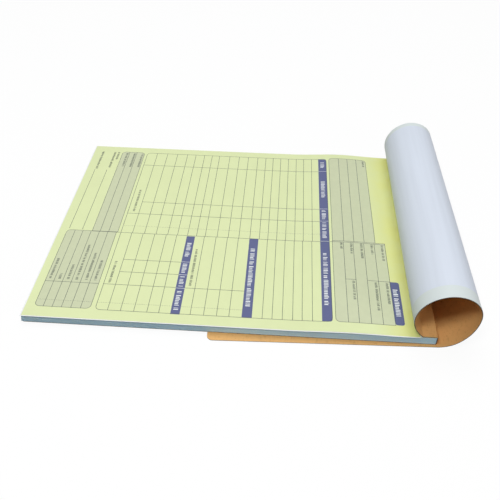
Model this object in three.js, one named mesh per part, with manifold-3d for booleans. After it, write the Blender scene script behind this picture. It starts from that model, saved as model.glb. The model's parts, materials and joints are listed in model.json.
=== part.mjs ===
// A carbonless invoice book: two-part sets stitched into a board cover at the head. The front
// flap of the cover is folded back over the head, rolled into a loose tube and tucked under the pad.
// Millimetres, +Z up. x runs from the foot of the page towards its head, y from the near edge to
// the far edge. Pieces are laid out from the head edge of the pad and moved to the origin at the end.
import * as THREE from 'three';
import { mergeVertices } from 'three/addons/utils/BufferGeometryUtils.js';
import Module from 'manifold-3d';

// Page
const pageWidth = 215.9;
const formLength = 279.4;
const stubLength = 11.1;
const leafThickness = 0.06;
const leafAir = 0.006;
const perforationGap = 0.2;

// Pad
const setCount = 50;
const looseSetCount = 3;
const setsPerBlock = 5;
const leavesPerSet = 2;

// Cover board
const boardThickness = 0.5;
const tailAir = 0.02;
const spineClearance = 0.3;
const stubPanelLength = 9.5;
const scoreGap = 0.4;

// Front flap, rolled up
const flapLength = 285.8;
const stripsBehindCrown = 4;
const stripsAfterCrown = 4;
const creaseGap = 0.24;
const flapCornerRadius = 4;
const startAngle = 142;
const shoulderAngle = -130;
const backRadius = 22.8;
const crownBackRadius = 23.1;
const crownFrontRadius = 19.6;
const rollClearance = 0.3;
const floorAngle = -180;
const apexDistance = 3924;

// Wire stitches
const stitchCount = 3;
const stitchPitch = 60;
const stitchSpan = 13;
const stitchFromHead = 5;
const wireWidth = 0.7;
const wireThickness = 0.4;
const wireClearance = 0.12;
const wireBendRadius = 0.35;
const clinchLength = 4.5;

// Colours
const canary = new THREE.Color(0.85, 0.89, 0.67);
const white = new THREE.Color(0.93, 0.94, 0.95);
const kraft = new THREE.Color(0.78, 0.62, 0.42);
const steel = new THREE.Color(0.62, 0.62, 0.64);

// Sizes that follow
const padLength = formLength + stubLength;
const flapStripCount = stripsBehindCrown + stripsAfterCrown;
const leafPitch = leafThickness + leafAir;
const backBottom = boardThickness + tailAir;
const backTop = backBottom + boardThickness;
const leafCount = setCount * leavesPerSet;
const stackTop = leafLevel(leafCount - 1) + leafThickness;
const stubPanelBottom = stackTop + leafAir;
const stubPanelTop = stubPanelBottom + boardThickness;
const spineX = spineClearance + boardThickness;
const scoreX = -stubPanelLength;
const scoreZ = stubPanelBottom + boardThickness / 2;
const tailZ = boardThickness / 2;
const stitchYs = Array.from({ length: stitchCount }, (_, i) =>
  pageWidth / 2 + (i - (stitchCount - 1) / 2) * stitchPitch);

const wasm = await Module();
wasm.setup();
const book = new THREE.Group();

// Underside of a leaf, counted from the lowest one
function leafLevel(index) {
  return backTop + leafAir + index * leafPitch;
}

function paper(colour) {
  return new THREE.MeshStandardMaterial({ color: colour, roughness: 0.75, metalness: 0 });
}

function board() {
  return new THREE.MeshStandardMaterial({ color: kraft, roughness: 0.8, metalness: 0 });
}

function wire() {
  return new THREE.MeshStandardMaterial({ color: steel, roughness: 0.35, metalness: 0.9 });
}

function addPiece(name, geometry, material) {
  const mesh = new THREE.Mesh(geometry, material);
  mesh.name = name;
  book.add(mesh);
  return mesh;
}

function rectangle(shape, x0, y0, x1, y1) {
  shape.moveTo(x0, y0);
  shape.lineTo(x1, y0);
  shape.lineTo(x1, y1);
  shape.lineTo(x0, y1);
  shape.closePath();
  return shape;
}

// One rectangular hole for each leg of each stitch
function legHoles() {
  const halfX = wireWidth / 2 + wireClearance;
  const halfY = wireThickness / 2 + wireClearance;
  const legOffset = stitchSpan / 2 - wireThickness / 2;
  return stitchYs.flatMap((y) => [y - legOffset, y + legOffset].map((legY) => ({
    x0: -stitchFromHead - halfX, y0: legY - halfY, x1: -stitchFromHead + halfX, y1: legY + halfY,
  })));
}

// A flat sheet of paper or a block of sheets, across the whole width of the page
function sheet(fromX, toX, bottom, top) {
  const outline = rectangle(new THREE.Shape(), fromX, 0, toX, pageWidth);
  for (const hole of legHoles()) {
    if (hole.x0 > fromX && hole.x1 < toX) {
      outline.holes.push(rectangle(new THREE.Path(), hole.x0, hole.y0, hole.x1, hole.y1));
    }
  }
  const geometry = new THREE.ExtrudeGeometry(outline, { depth: top - bottom, bevelEnabled: false });
  return geometry.translate(0, 0, bottom);
}

function toSolid(geometry) {
  const bare = geometry.index ? geometry.toNonIndexed() : geometry.clone();
  bare.deleteAttribute('normal');
  bare.deleteAttribute('uv');
  const merged = mergeVertices(bare, 1e-4);
  const mesh = new wasm.Mesh({
    numProp: 3,
    vertProperties: new Float32Array(merged.attributes.position.array),
    triVerts: new Uint32Array(merged.index.array),
  });
  return new wasm.Manifold(mesh);
}

function toGeometry(solid) {
  const mesh = solid.getMesh();
  const geometry = new THREE.BufferGeometry();
  geometry.setAttribute('position', new THREE.BufferAttribute(new Float32Array(mesh.vertProperties), 3));
  geometry.setIndex(new THREE.BufferAttribute(new Uint32Array(mesh.triVerts), 1));
  geometry.computeVertexNormals();
  return geometry;
}

function block(x0, y0, z0, x1, y1, z1) {
  const geometry = new THREE.BoxGeometry(x1 - x0, y1 - y0, z1 - z0);
  return geometry.translate((x0 + x1) / 2, (y0 + y1) / 2, (z0 + z1) / 2);
}

// Back panel, spine and stub panel: one board wrapped round the head of the pad
function addCoverBack() {
  const innerX = spineClearance;
  const innerRadius = spineClearance;
  const spineRadius = innerRadius + boardThickness;
  const outline = new THREE.Shape();
  outline.moveTo(-padLength, backBottom);
  outline.lineTo(spineX - spineRadius, backBottom);
  outline.absarc(spineX - spineRadius, backBottom + spineRadius, spineRadius, -Math.PI / 2, 0);
  outline.absarc(spineX - spineRadius, stubPanelTop - spineRadius, spineRadius, 0, Math.PI / 2);
  outline.lineTo(scoreX + scoreGap / 2, stubPanelTop);
  outline.lineTo(scoreX + scoreGap / 2, stubPanelBottom);
  outline.lineTo(innerX - innerRadius, stubPanelBottom);
  outline.absarc(innerX - innerRadius, stubPanelBottom - innerRadius, innerRadius, Math.PI / 2, 0, true);
  outline.absarc(innerX - innerRadius, backTop + innerRadius, innerRadius, 0, -Math.PI / 2, true);
  outline.lineTo(-padLength, backTop);
  outline.closePath();
  const profile = new THREE.ExtrudeGeometry(outline, { depth: pageWidth, bevelEnabled: false, curveSegments: 6 });
  profile.rotateX(Math.PI / 2).translate(0, pageWidth, 0);
  let cover = toSolid(profile);
  for (const hole of legHoles()) {
    const through = block(hole.x0, hole.y0, stubPanelBottom - 1, hole.x1, hole.y1, stubPanelTop + 1);
    cover = cover.subtract(toSolid(through));
  }
  // The clinched ends lie in slots pressed through the back panel
  const halfX = wireWidth / 2 + wireClearance;
  const halfY = stitchSpan / 2 + wireClearance;
  for (const y of stitchYs) {
    const slot = block(-stitchFromHead - halfX, y - halfY, backBottom - 1,
      -stitchFromHead + halfX, y + halfY, backTop + leafAir / 2);
    cover = cover.subtract(toSolid(slot));
  }
  addPiece('cover_back', toGeometry(cover), board());
}

// A wire stitch: crown over the stub panel, legs down through the pad, ends clinched inwards
function addStitch(name, y) {
  const crownTop = stubPanelTop + tailAir + wireThickness;
  const clinchBottom = backBottom + (boardThickness - wireThickness) / 2;
  const half = stitchSpan / 2;
  const inner = half - wireThickness;
  const clinchEnd = half - clinchLength;
  const outline = new THREE.Shape();
  outline.moveTo(-half + wireBendRadius, crownTop);
  outline.quadraticCurveTo(-half, crownTop, -half, crownTop - wireBendRadius);
  outline.lineTo(-half, clinchBottom);
  outline.lineTo(-clinchEnd, clinchBottom);
  outline.lineTo(-clinchEnd, clinchBottom + wireThickness);
  outline.lineTo(-inner, clinchBottom + wireThickness);
  outline.lineTo(-inner, crownTop - wireThickness);
  outline.lineTo(inner, crownTop - wireThickness);
  outline.lineTo(inner, clinchBottom + wireThickness);
  outline.lineTo(clinchEnd, clinchBottom + wireThickness);
  outline.lineTo(clinchEnd, clinchBottom);
  outline.lineTo(half, clinchBottom);
  outline.lineTo(half, crownTop - wireBendRadius);
  outline.quadraticCurveTo(half, crownTop, half - wireBendRadius, crownTop);
  outline.closePath();
  const geometry = new THREE.ExtrudeGeometry(outline, { depth: wireWidth, bevelEnabled: false, curveSegments: 4 });
  // The outline's own axes become y and z, and its depth becomes x
  geometry.applyMatrix4(new THREE.Matrix4().makeBasis(
    new THREE.Vector3(0, 1, 0), new THREE.Vector3(0, 0, 1), new THREE.Vector3(1, 0, 0)));
  geometry.translate(-stitchFromHead - wireWidth / 2, y, 0);
  addPiece(name, geometry, wire());
}

// Near-edge outline of the rolled flap in the plane of the board's middle: arcs whose tangent angle
// falls from the score to the tail. The last two radii are the ones with which the roll comes down
// exactly to the floor, just clear of the spine.
function rollProfile() {
  const arcs = [
    { from: startAngle, to: 90, radius: backRadius },
    { from: 90, to: 0, radius: crownBackRadius },
    { from: 0, to: -90, radius: crownFrontRadius },
  ];
  const widest = profilePoint(arcs, -90);
  const drop = widest.z - tailZ;
  const reach = widest.x - (spineX + rollClearance);
  const sine = Math.sin(THREE.MathUtils.degToRad(shoulderAngle));
  const cosine = Math.cos(THREE.MathUtils.degToRad(shoulderAngle));
  const bottomRadius = (drop * (1 + sine) + reach * cosine) / ((1 + cosine) * (1 + sine) - sine * cosine);
  const frontRadius = (reach + bottomRadius * sine) / (1 + sine);
  arcs.push({ from: -90, to: shoulderAngle, radius: frontRadius });
  arcs.push({ from: shoulderAngle, to: floorAngle, radius: bottomRadius });
  return arcs;
}

// Point of the profile where its tangent has the given angle, in degrees from +x
function profilePoint(arcs, angle) {
  const rad = THREE.MathUtils.degToRad;
  const point = new THREE.Vector3(scoreX, 0, scoreZ);
  for (const arc of arcs) {
    if (angle < arc.from) {
      const end = Math.max(angle, arc.to);
      point.x += arc.radius * (Math.sin(rad(arc.from)) - Math.sin(rad(end)));
      point.z += arc.radius * (Math.cos(rad(end)) - Math.cos(rad(arc.from)));
    }
  }
  return point;
}

// Tangent angle of the profile at a crease: even steps from the score to the crown, where the tangent
// is level, and even steps from there to the floor
function creaseAngle(index) {
  if (index <= stripsBehindCrown) return startAngle * (1 - index / stripsBehindCrown);
  return floorAngle * (index - stripsBehindCrown) / stripsAfterCrown;
}

// The crease lines of the rolled flap. The flap is slightly conical: the creases up to the crown of
// the roll run to an apex level with the score, and the others to one level with the tail, on the
// crown's own crease. Each crease also has its place on the flat flap: u from the score towards the
// free end, v from the near edge to the far edge.
function rollCreases() {
  const arcs = rollProfile();
  const points = [];
  for (let i = 0; i <= flapStripCount; i += 1) points.push(profilePoint(arcs, creaseAngle(i)));
  const crown = stripsBehindCrown;
  const firstApex = new THREE.Vector3(scoreX, apexDistance, scoreZ);
  const reach = (points[crown].z - tailZ) / (points[crown].z - scoreZ);
  const secondApex = points[crown].clone().lerp(firstApex, reach);
  const creases = [];
  let apex = firstApex;
  let flatApex = new THREE.Vector2(0, apexDistance);
  let flatAngle = 0;
  for (let i = 0; i <= flapStripCount; i += 1) {
    const fromApex = points[i].clone().sub(apex);
    if (i > 0) flatAngle += fromApex.angleTo(creases[i - 1].fromApex);
    const flatDirection = new THREE.Vector2(Math.sin(flatAngle), -Math.cos(flatAngle));
    if (i === crown) {
      const flatPoint = flatApex.clone().addScaledVector(flatDirection, fromApex.length());
      flatApex = flatPoint.clone().lerp(flatApex, reach);
      apex = secondApex;
      fromApex.copy(points[i]).sub(apex);
    }
    creases.push({ point: points[i], apex, flatApex, flatAngle, fromApex });
  }
  return creases;
}

// Place u of a crease at the distance v across the flat flap
function flatPlace(crease, v) {
  return crease.flatApex.x + Math.tan(crease.flatAngle) * (crease.flatApex.y - v);
}

// Carries the flat flap's u, v and thickness to the rolled flap, for the facet that starts at a crease
function facetMatrix(crease, nextPoint) {
  const along = crease.fromApex.clone().normalize();
  const across = nextPoint.clone().sub(crease.apex);
  across.addScaledVector(along, -across.dot(along)).normalize();
  const sine = Math.sin(crease.flatAngle);
  const cosine = Math.cos(crease.flatAngle);
  const u = across.clone().multiplyScalar(cosine).addScaledVector(along, sine);
  const v = across.clone().multiplyScalar(sine).addScaledVector(along, -cosine);
  const normal = new THREE.Vector3().crossVectors(u, v);
  const origin = crease.apex.clone()
    .addScaledVector(u, -crease.flatApex.x)
    .addScaledVector(v, -crease.flatApex.y);
  return new THREE.Matrix4().makeBasis(u, v, normal).setPosition(origin);
}

// Adds one flat piece of the flap and returns the normal of its inner face. With the piece it keeps
// how it is hinged to the one before: a point of the crease, the direction to the far edge, and the
// angle that it is turned by from lying flat in line with that piece.
function addFlapPiece(name, outline, crease, nextPoint, normalBefore) {
  const geometry = new THREE.ExtrudeGeometry(outline, { depth: boardThickness, bevelEnabled: false, curveSegments: 6 });
  const matrix = facetMatrix(crease, nextPoint);
  const normal = new THREE.Vector3().setFromMatrixColumn(matrix, 2);
  geometry.translate(0, 0, -boardThickness / 2);
  geometry.applyMatrix4(matrix);
  const piece = addPiece(name, geometry, board());
  piece.userData.crease = {
    point: crease.point.clone(),
    direction: crease.fromApex.clone().negate().normalize(),
    turn: normalBefore.angleTo(normal),
  };
  return normal;
}

// The front flap: narrow flat strips round the roll, then the flat tail under the pad
function addFlap() {
  const creases = rollCreases();
  // With the book closed, the flap's inner face looks down on the pad
  let normal = new THREE.Vector3(0, 0, -1);
  for (let i = 0; i < flapStripCount; i += 1) {
    const start = creases[i];
    const end = creases[i + 1];
    const startInset = (i === 0 ? scoreGap : creaseGap) / 2;
    const endInset = creaseGap / 2;
    const outline = new THREE.Shape();
    outline.moveTo(flatPlace(start, 0) + startInset, 0);
    outline.lineTo(flatPlace(end, 0) - endInset, 0);
    outline.lineTo(flatPlace(end, pageWidth) - endInset, pageWidth);
    outline.lineTo(flatPlace(start, pageWidth) + startInset, pageWidth);
    outline.closePath();
    const number = String(i + 1).padStart(2, '0');
    normal = addFlapPiece(`flap_strip_${number}`, outline, start, end.point, normal);
  }
  const last = creases[flapStripCount];
  const tailStart = flatPlace(last, 0) + creaseGap / 2;
  const tailStartFar = flatPlace(last, pageWidth) + creaseGap / 2;
  const r = flapCornerRadius;
  const outline = new THREE.Shape();
  outline.moveTo(tailStart, 0);
  outline.lineTo(flapLength - r, 0);
  outline.absarc(flapLength - r, r, r, -Math.PI / 2, 0);
  outline.absarc(flapLength - r, pageWidth - r, r, 0, Math.PI / 2);
  outline.lineTo(tailStartFar, pageWidth);
  outline.closePath();
  // The tail lies flat on the floor and runs back towards the foot
  const towardsFoot = last.point.clone().add(new THREE.Vector3(-1, 0, 0));
  addFlapPiece('flap_tail', outline, last, towardsFoot, normal);
}

// Leaves of the first sets, each in front of its own stub, then the other sets in blocks
function addPad() {
  const foot = -padLength;
  const leafEnd = -stubLength - perforationGap / 2;
  const stubStart = -stubLength + perforationGap / 2;
  for (let set = 1; set <= looseSetCount; set += 1) {
    const number = String(set).padStart(2, '0');
    const canaryBottom = leafLevel((setCount - set) * leavesPerSet);
    const whiteBottom = canaryBottom + leafPitch;
    addPiece(`canary_${number}_stub`, sheet(stubStart, 0, canaryBottom, canaryBottom + leafThickness), paper(canary));
    addPiece(`canary_${number}`, sheet(foot, leafEnd, canaryBottom, canaryBottom + leafThickness), paper(canary));
    addPiece(`white_${number}_stub`, sheet(stubStart, 0, whiteBottom, whiteBottom + leafThickness), paper(white));
    // The first white original has been torn out along its perforation
    if (set > 1) {
      addPiece(`white_${number}`, sheet(foot, leafEnd, whiteBottom, whiteBottom + leafThickness), paper(white));
    }
  }
  for (let first = looseSetCount + 1; first <= setCount; first += setsPerBlock) {
    const last = Math.min(first + setsPerBlock - 1, setCount);
    const bottom = leafLevel((setCount - last) * leavesPerSet);
    const top = leafLevel((setCount - first + 1) * leavesPerSet - 1) + leafThickness;
    const name = `sets_${String(first).padStart(2, '0')}_to_${String(last).padStart(2, '0')}`;
    addPiece(name, sheet(foot, 0, bottom, top), paper(white));
  }
}

addCoverBack();
addFlap();
addPad();
['near', 'middle', 'far'].forEach((place, i) => addStitch(`stitch_${place}`, stitchYs[i]));

// The origin is the middle of the book's footprint, on the surface that it lies on
const extent = new THREE.Box3().setFromObject(book, true);
const centre = extent.getCenter(new THREE.Vector3());
book.position.set(-centre.x, -centre.y, -extent.min.z);
book.updateMatrixWorld(true);

export default book;
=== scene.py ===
"""An invoice book: two-part sets stitched into a board cover whose front flap is turned back over
the head, rolled up and tucked under the pad. Lengths in this file are millimetres, counted from the
near corner of the pad's head: x towards the head and beyond, y towards the far edge, z up."""
import json
import math

import bpy
import numpy as np
from mathutils import Matrix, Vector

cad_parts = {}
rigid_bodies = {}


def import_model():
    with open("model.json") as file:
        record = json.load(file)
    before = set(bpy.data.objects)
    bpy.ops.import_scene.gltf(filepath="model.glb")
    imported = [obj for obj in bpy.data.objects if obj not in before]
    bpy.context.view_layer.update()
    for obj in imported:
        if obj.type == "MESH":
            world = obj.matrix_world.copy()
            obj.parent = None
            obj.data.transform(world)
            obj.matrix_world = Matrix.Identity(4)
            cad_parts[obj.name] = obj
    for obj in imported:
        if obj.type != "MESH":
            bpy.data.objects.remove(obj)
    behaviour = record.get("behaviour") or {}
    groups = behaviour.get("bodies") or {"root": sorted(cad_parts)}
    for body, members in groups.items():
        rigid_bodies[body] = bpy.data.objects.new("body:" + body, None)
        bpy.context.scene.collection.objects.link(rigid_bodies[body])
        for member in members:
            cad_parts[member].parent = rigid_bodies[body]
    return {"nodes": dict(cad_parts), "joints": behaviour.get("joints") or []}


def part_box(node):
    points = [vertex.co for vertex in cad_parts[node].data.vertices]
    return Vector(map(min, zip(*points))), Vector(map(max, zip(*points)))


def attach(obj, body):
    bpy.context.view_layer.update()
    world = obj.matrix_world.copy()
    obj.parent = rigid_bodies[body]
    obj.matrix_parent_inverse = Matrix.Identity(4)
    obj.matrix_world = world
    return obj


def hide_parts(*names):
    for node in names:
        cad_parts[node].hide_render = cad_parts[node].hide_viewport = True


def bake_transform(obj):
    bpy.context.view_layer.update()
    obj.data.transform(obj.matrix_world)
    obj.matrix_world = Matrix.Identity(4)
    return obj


bl_info = {
    "name": "Invoice book",
    "version": (1, 0, 0),
    "blender": (4, 5, 0),
    "location": "View3D > Sidebar > Invoice book",
    "description": "Dresses the frame of an invoice book: rolled cover, leaves, print, stitches",
    "category": "Add Mesh",
}

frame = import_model()
MM = 0.001


def corners(node):
    """Lowest and highest corner of a CAD node, in metres, as arrays."""
    return np.array(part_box(node))


PAD_LOW, PAD_HIGH = corners("sets_04_to_08")
ORIGIN = np.array([PAD_HIGH[0], PAD_LOW[1], 0.0])
PAGE_WIDTH = float(PAD_HIGH[1] - PAD_LOW[1]) / MM

# Leaves that lift, from the top: each with the one that carries it, its share of the top leaf's hump,
# and the length of its paper ties, which are the shorter the more leaves bend below
LOOSE_LEAVES = (
    ("canary_01", "white_02", 1.0, 0.07),
    ("white_02", "canary_02", 0.9, 0.11),
    ("canary_02", "white_03", 0.79, 0.14),
    ("white_03", "canary_03", 0.67, 0.16),
    ("canary_03", "pad", 0.54, 0.17),
)
STUBS = tuple(sorted(name for name in frame["nodes"] if name.endswith("_stub")))
BLOCKS = tuple(sorted(name for name in frame["nodes"] if name.startswith("sets_")))
STITCHES = ("stitch_near", "stitch_middle", "stitch_far")
BACK = "cover_back"
TAIL = "flap_tail"

# Thickness of a leaf, and how far apart leaves lie in the stack
LEAF = 0.06
LEAF_PITCH = 0.066

# How far from the perforation a leaf bends, and the paper ties that cross it
TIE_PITCH = 1.8
TIE_WIDTH = 0.8


def colour(red, green, blue):
    """The linear colour of an 8-bit sRGB one."""
    share = np.array([red, green, blue]) / 255
    linear = np.where(share <= 0.04045, share / 12.92, ((share + 0.055) / 1.055) ** 2.4)
    return tuple(float(x) for x in linear)


def colour_property(name, description, default):
    """A colour that is kept in linear numbers."""
    return bpy.props.FloatVectorProperty(name=name, description=description, default=default,
                                         subtype="COLOR", min=0.0, max=1.0)


def length_property(name, description, default):
    """A length that is kept in metres and given here in millimetres."""
    return bpy.props.FloatProperty(name=name, description=description, default=default * MM, unit="LENGTH",
                                   min=0.0, precision=5)


def power_property(name, description, default):
    """The power of a lamp, in watts."""
    return bpy.props.FloatProperty(name=name, description=description, default=default, unit="POWER",
                                   min=0.0)


# Settings


class CoverSettings(bpy.types.PropertyGroup):
    """Sizes and colours of the board cover"""

    board: length_property("Board", "Thickness of the cover board", 0.5)
    corner: length_property("Corner", "Radius of the flap's outer corners", 4.0)
    stub_panel: length_property("Stub panel", "Length of the panel over the stitched edge", 9.3)
    flap: length_property("Flap", "Length of the front flap when it lies flat", 285.8)
    kraft: colour_property("Kraft", "Outer face of the cover board", colour(228, 178, 114))
    fibre: colour_property("Fibre", "Dark fibres in the kraft board", colour(176, 124, 66))
    lining: colour_property("Lining", "White inner face along the edges of the flap", colour(212, 220, 220))
    panel: colour_property("Panel", "Tinted panel on the inner face of the flap", colour(214, 221, 233))
    cut: colour_property("Cut edge", "Cut edge of the board", colour(98, 94, 86))


class PaperSettings(bpy.types.PropertyGroup):
    """Colours of the leaves, and how far the top one stands off the pad"""

    canary: colour_property("Canary", "Copy leaves", colour(221, 230, 178))
    # Canary near the perforation: a painted reflection and shade of the kraft roll, not a colour of the
    # paper
    deep_canary: colour_property("Deep canary", "Copy leaves at the perforation", colour(214, 213, 116))
    white: colour_property("White", "Original leaves", colour(236, 238, 238))
    cut: colour_property("Cut edge", "Cut edges of the stacked leaves", colour(184, 218, 238))
    near_hump: length_property("Near hump", "How far the top leaf stands off the pad at its near edge", 1.4)
    far_hump: length_property("Far hump", "How far the top leaf stands off the pad at its far edge", 2.6)


class PrintSettings(bpy.types.PropertyGroup):
    """Colours of the ruled form, and the width of its rules"""

    bar: colour_property("Bars", "Dark heading bars", colour(90, 96, 136))
    tint: colour_property("Tint", "Tinted boxes on the copy leaves", colour(200, 206, 172))
    pale_tint: colour_property("Pale tint", "Tinted boxes on the original leaves", colour(212, 216, 222))
    bare: colour_property("Bare", "Marks left bare in the heading bars", colour(228, 232, 232))
    rule: colour_property("Rules", "Thin rules, and the marks on bare paper", colour(72, 80, 80))
    rule_width: length_property("Rule", "Width of the thin rules", 0.32)


class WireSettings(bpy.types.PropertyGroup):
    """Size and colour of the stitching wire"""

    width: length_property("Width", "Width of the flattened wire", 0.7)
    thickness: length_property("Thickness", "Thickness of the flattened wire", 0.4)
    steel: colour_property("Steel", "Colour of the wire", colour(205, 205, 208))


class StageSettings(bpy.types.PropertyGroup):
    """Light and floor"""

    key: power_property("Key lamp", "Power of the lamp in front", 7.9)
    low: power_property("Low lamp", "Power of the lamp that reaches into the roll", 2.4)
    top: power_property("Top lamp", "Power of the lamp above", 10.8)
    sky: bpy.props.FloatProperty(name="Sky", description="Strength of the even light",
                                 default=0.19, min=0.0)
    floor: colour_property("Floor", "Colour of the floor where it is seen", colour(250, 250, 250))
    bounce: colour_property("Floor bounce", "Colour of the floor in the light that it throws back",
                            colour(92, 94, 98))
    shadow: bpy.props.FloatProperty(name="Shadow", description="Share of the shadow kept on the floor",
                                    default=0.08, min=0.0, max=1.0, subtype="FACTOR")


SETTINGS = {
    "book_cover": CoverSettings,
    "book_paper": PaperSettings,
    "book_print": PrintSettings,
    "book_wire": WireSettings,
    "book_stage": StageSettings,
}


# Shader nodes


class Maths:
    """An output socket that adds, subtracts, multiplies and compares as a Python number does: each
    operator adds the Math node that does it."""

    def __init__(self, finish, socket):
        self.finish = finish
        self.socket = socket

    def worked(self, operation, first, second):
        """The result of a Math node on two values or sockets."""
        return self.finish.node("ShaderNodeMath", {"operation": operation}, {0: first, 1: second})

    def __add__(self, other):
        return self.worked("ADD", self, other)

    def __radd__(self, other):
        return self.worked("ADD", other, self)

    def __sub__(self, other):
        return self.worked("SUBTRACT", self, other)

    def __rsub__(self, other):
        return self.worked("SUBTRACT", other, self)

    def __mul__(self, other):
        return self.worked("MULTIPLY", self, other)

    def __rmul__(self, other):
        return self.worked("MULTIPLY", other, self)

    def __gt__(self, other):
        return self.worked("GREATER_THAN", self, other)

    def __lt__(self, other):
        return self.worked("LESS_THAN", self, other)


class Nodes:
    """A node tree that is added to."""

    def __init__(self, tree):
        self.tree = tree

    def node(self, kind, settings=(), values=(), output=0):
        """A node of a type, with its settings, then the values or links of its sockets. The result is
        the named output, or nothing for a node that has none."""
        made = self.tree.nodes.new(kind)
        for key, value in dict(settings).items():
            setattr(made, key, value)
        for key, value in dict(values).items():
            if isinstance(value, Maths):
                self.tree.links.new(value.socket, made.inputs[key])
            else:
                made.inputs[key].default_value = value
        return None if output is None else Maths(self, made.outputs[output])


class Finish(Nodes):
    """One material and the nodes that make it up."""

    def __init__(self, name, constants=()):
        self.material = bpy.data.materials.new(name)
        self.material.use_nodes = True
        super().__init__(self.material.node_tree)
        self.shader = self.tree.nodes["Principled BSDF"]
        for socket, value in dict(constants).items():
            self.shader.inputs[socket].default_value = value

    def place(self):
        """Place on the piece, in metres."""
        return self.node("ShaderNodeTexCoord", output="Object")

    def coordinate(self, axis, place=None):
        """X, Y or Z of a place, or of the place on the piece."""
        return self.node("ShaderNodeSeparateXYZ", {}, {"Vector": place or self.place()}, output=axis)

    def noise(self, scale, detail, stretch=(1.0, 1.0, 1.0)):
        """Noise with a number of features in a metre, stretched along the axes."""
        where = self.node("ShaderNodeMapping", {}, {"Vector": self.place(), "Scale": stretch})
        return self.node("ShaderNodeTexNoise", {}, {"Vector": where, "Scale": scale, "Detail": detail})

    def mix(self, factor, first, second):
        """The first colour at 0, the second at 1."""
        a, b = [rgba(c) for c in (first, second)]
        return self.node("ShaderNodeMix", {"data_type": "RGBA"}, {0: factor, 6: a, 7: b}, output=2)

    def step(self, value, low, high):
        """0 below low, 1 above high, and a smooth step between."""
        return self.node("ShaderNodeMapRange", {"interpolation_type": "SMOOTHSTEP"},
                         {"Value": value, "From Min": low, "From Max": high})

    def colour(self, value):
        """Links the colour of the surface."""
        self.tree.links.new(value.socket, self.shader.inputs["Base Color"])

    def roughness(self, value):
        """Links the roughness of the surface."""
        self.tree.links.new(value.socket, self.shader.inputs["Roughness"])

    def bump(self, height, depth):
        """Relief of a depth in metres."""
        relief = self.node("ShaderNodeBump", {}, {"Height": height, "Distance": depth, "Strength": 1.0},
                           output="Normal")
        self.tree.links.new(relief.socket, self.shader.inputs["Normal"])


def rgba(value):
    """A colour with its alpha, or a link as it is."""
    return value if isinstance(value, Maths) else (*value[:3], 1.0)


def tinted(value, share):
    """A colour made lighter or darker by a share."""
    return tuple(min(1.0, float(x) * share) for x in value[:3])


FINISHES = {}

# Depths of the surface grain, in metres
FELT_DEPTH = 0.00002
LINING_DEPTH = 0.00002
KRAFT_DEPTH = 0.00004

# Distances from the perforation between which the canary paper turns golden: a painted reflection and shade
# of the kraft roll that lies over that stretch
ROLL_SHADE_REACH = (34.0, 3.0)

# The tinted panel of the lining: its margins at the near and far sides, its two ends along the flap,
# and half the width of its soft edge
PANEL_MARGINS = (11.0, 5.0)
PANEL_ENDS = (7.0, 270.0)
PANEL_BLUR = 0.5

# How close to its sides the back board counts as cut
CUT_REACH = 0.05


def finished(name, make, *settings):
    """The material of that name, made once."""
    if name not in FINISHES:
        FINISHES[name] = make(name, *settings).material
    return FINISHES[name]


def bare_paper(name):
    """Uncoated paper with a fine felt grain and no colour yet, and its soft clouds, from 0 to 1."""
    paper = Finish(name, {"Roughness": 0.72, "Specular IOR Level": 0.3})
    paper.bump(paper.noise(2600.0, 3.0), FELT_DEPTH)
    return paper, paper.step(paper.noise(55.0, 4.0), 0.3, 0.75)


def white_finish(name, tone):
    """White paper, a little darker in its clouds."""
    paper, clouds = bare_paper(name)
    paper.colour(paper.mix(clouds, tone, tinted(tone, 0.965)))
    return paper


def canary_finish(name, paper):
    """Canary paper, more golden towards the perforation, where the golden tone is a painted reflection and
    shade of the kraft roll.
    """
    leaf, clouds = bare_paper(name)
    perforation = float(corners("canary_01")[1][0])
    unshaded_end, shaded_end = [perforation - distance * MM for distance in ROLL_SHADE_REACH]
    # The share of the painted roll reflection and shade, rising towards the perforation
    depth = leaf.step(leaf.coordinate("X"), unshaded_end, shaded_end)
    tone = leaf.mix(depth * 0.75, paper.canary, paper.deep_canary)
    leaf.colour(leaf.mix(clouds * 0.4, tone, tinted(paper.canary, 0.93)))
    return leaf


def leaf_material(name, paper):
    """White or canary paper, as the name of a leaf or stub says."""
    if name.startswith("canary"):
        return finished("canary_leaf", canary_finish, paper)
    return finished("white_leaf", white_finish, paper.white)


def cut_edge_finish(name, tone):
    """Cut edges of stacked leaves: thin lines along the stack, lighter and darker by turns."""
    edge = Finish(name, {"Roughness": 0.8, "Specular IOR Level": 0.2})
    lines = edge.noise(900.0, 3.0, (0.02, 0.02, 6.0))
    blotches = edge.noise(40.0, 3.0)
    shade = edge.step(lines * 0.75 + blotches * 0.25, 0.3, 0.7)
    edge.colour(edge.mix(shade, tinted(tone, 0.86), tinted(tone, 1.1)))
    return edge


def kraft_board(name, cover):
    """Kraft board and its colour, not yet in use: soft clouds, long pale and dark fibres and a few
    darker specks."""
    board = Finish(name, {"Roughness": 0.78, "Specular IOR Level": 0.25})
    board.bump(board.noise(1500.0, 4.0), KRAFT_DEPTH)
    clouds = board.step(board.noise(70.0, 5.0), 0.3, 0.72)
    ground = board.mix(clouds, tinted(cover.kraft, 1.02), tinted(cover.kraft, 0.96))
    long_fibres = board.noise(700.0, 4.0, (0.25, 1.0, 1.0))
    cross_fibres = board.noise(820.0, 4.0, (1.0, 0.3, 1.0))
    fibres = board.step(long_fibres * 0.5 + cross_fibres * 0.5, 0.5, 0.72)
    streaked = board.mix(fibres * 0.4, ground, cover.fibre)
    specks = board.noise(1100.0, 1.0) > 0.74
    return board, board.mix(specks * 0.3, streaked, cover.fibre)


def kraft_finish(name, cover):
    """Kraft board all over."""
    board, kraft = kraft_board(name, cover)
    board.colour(kraft)
    return board


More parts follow.
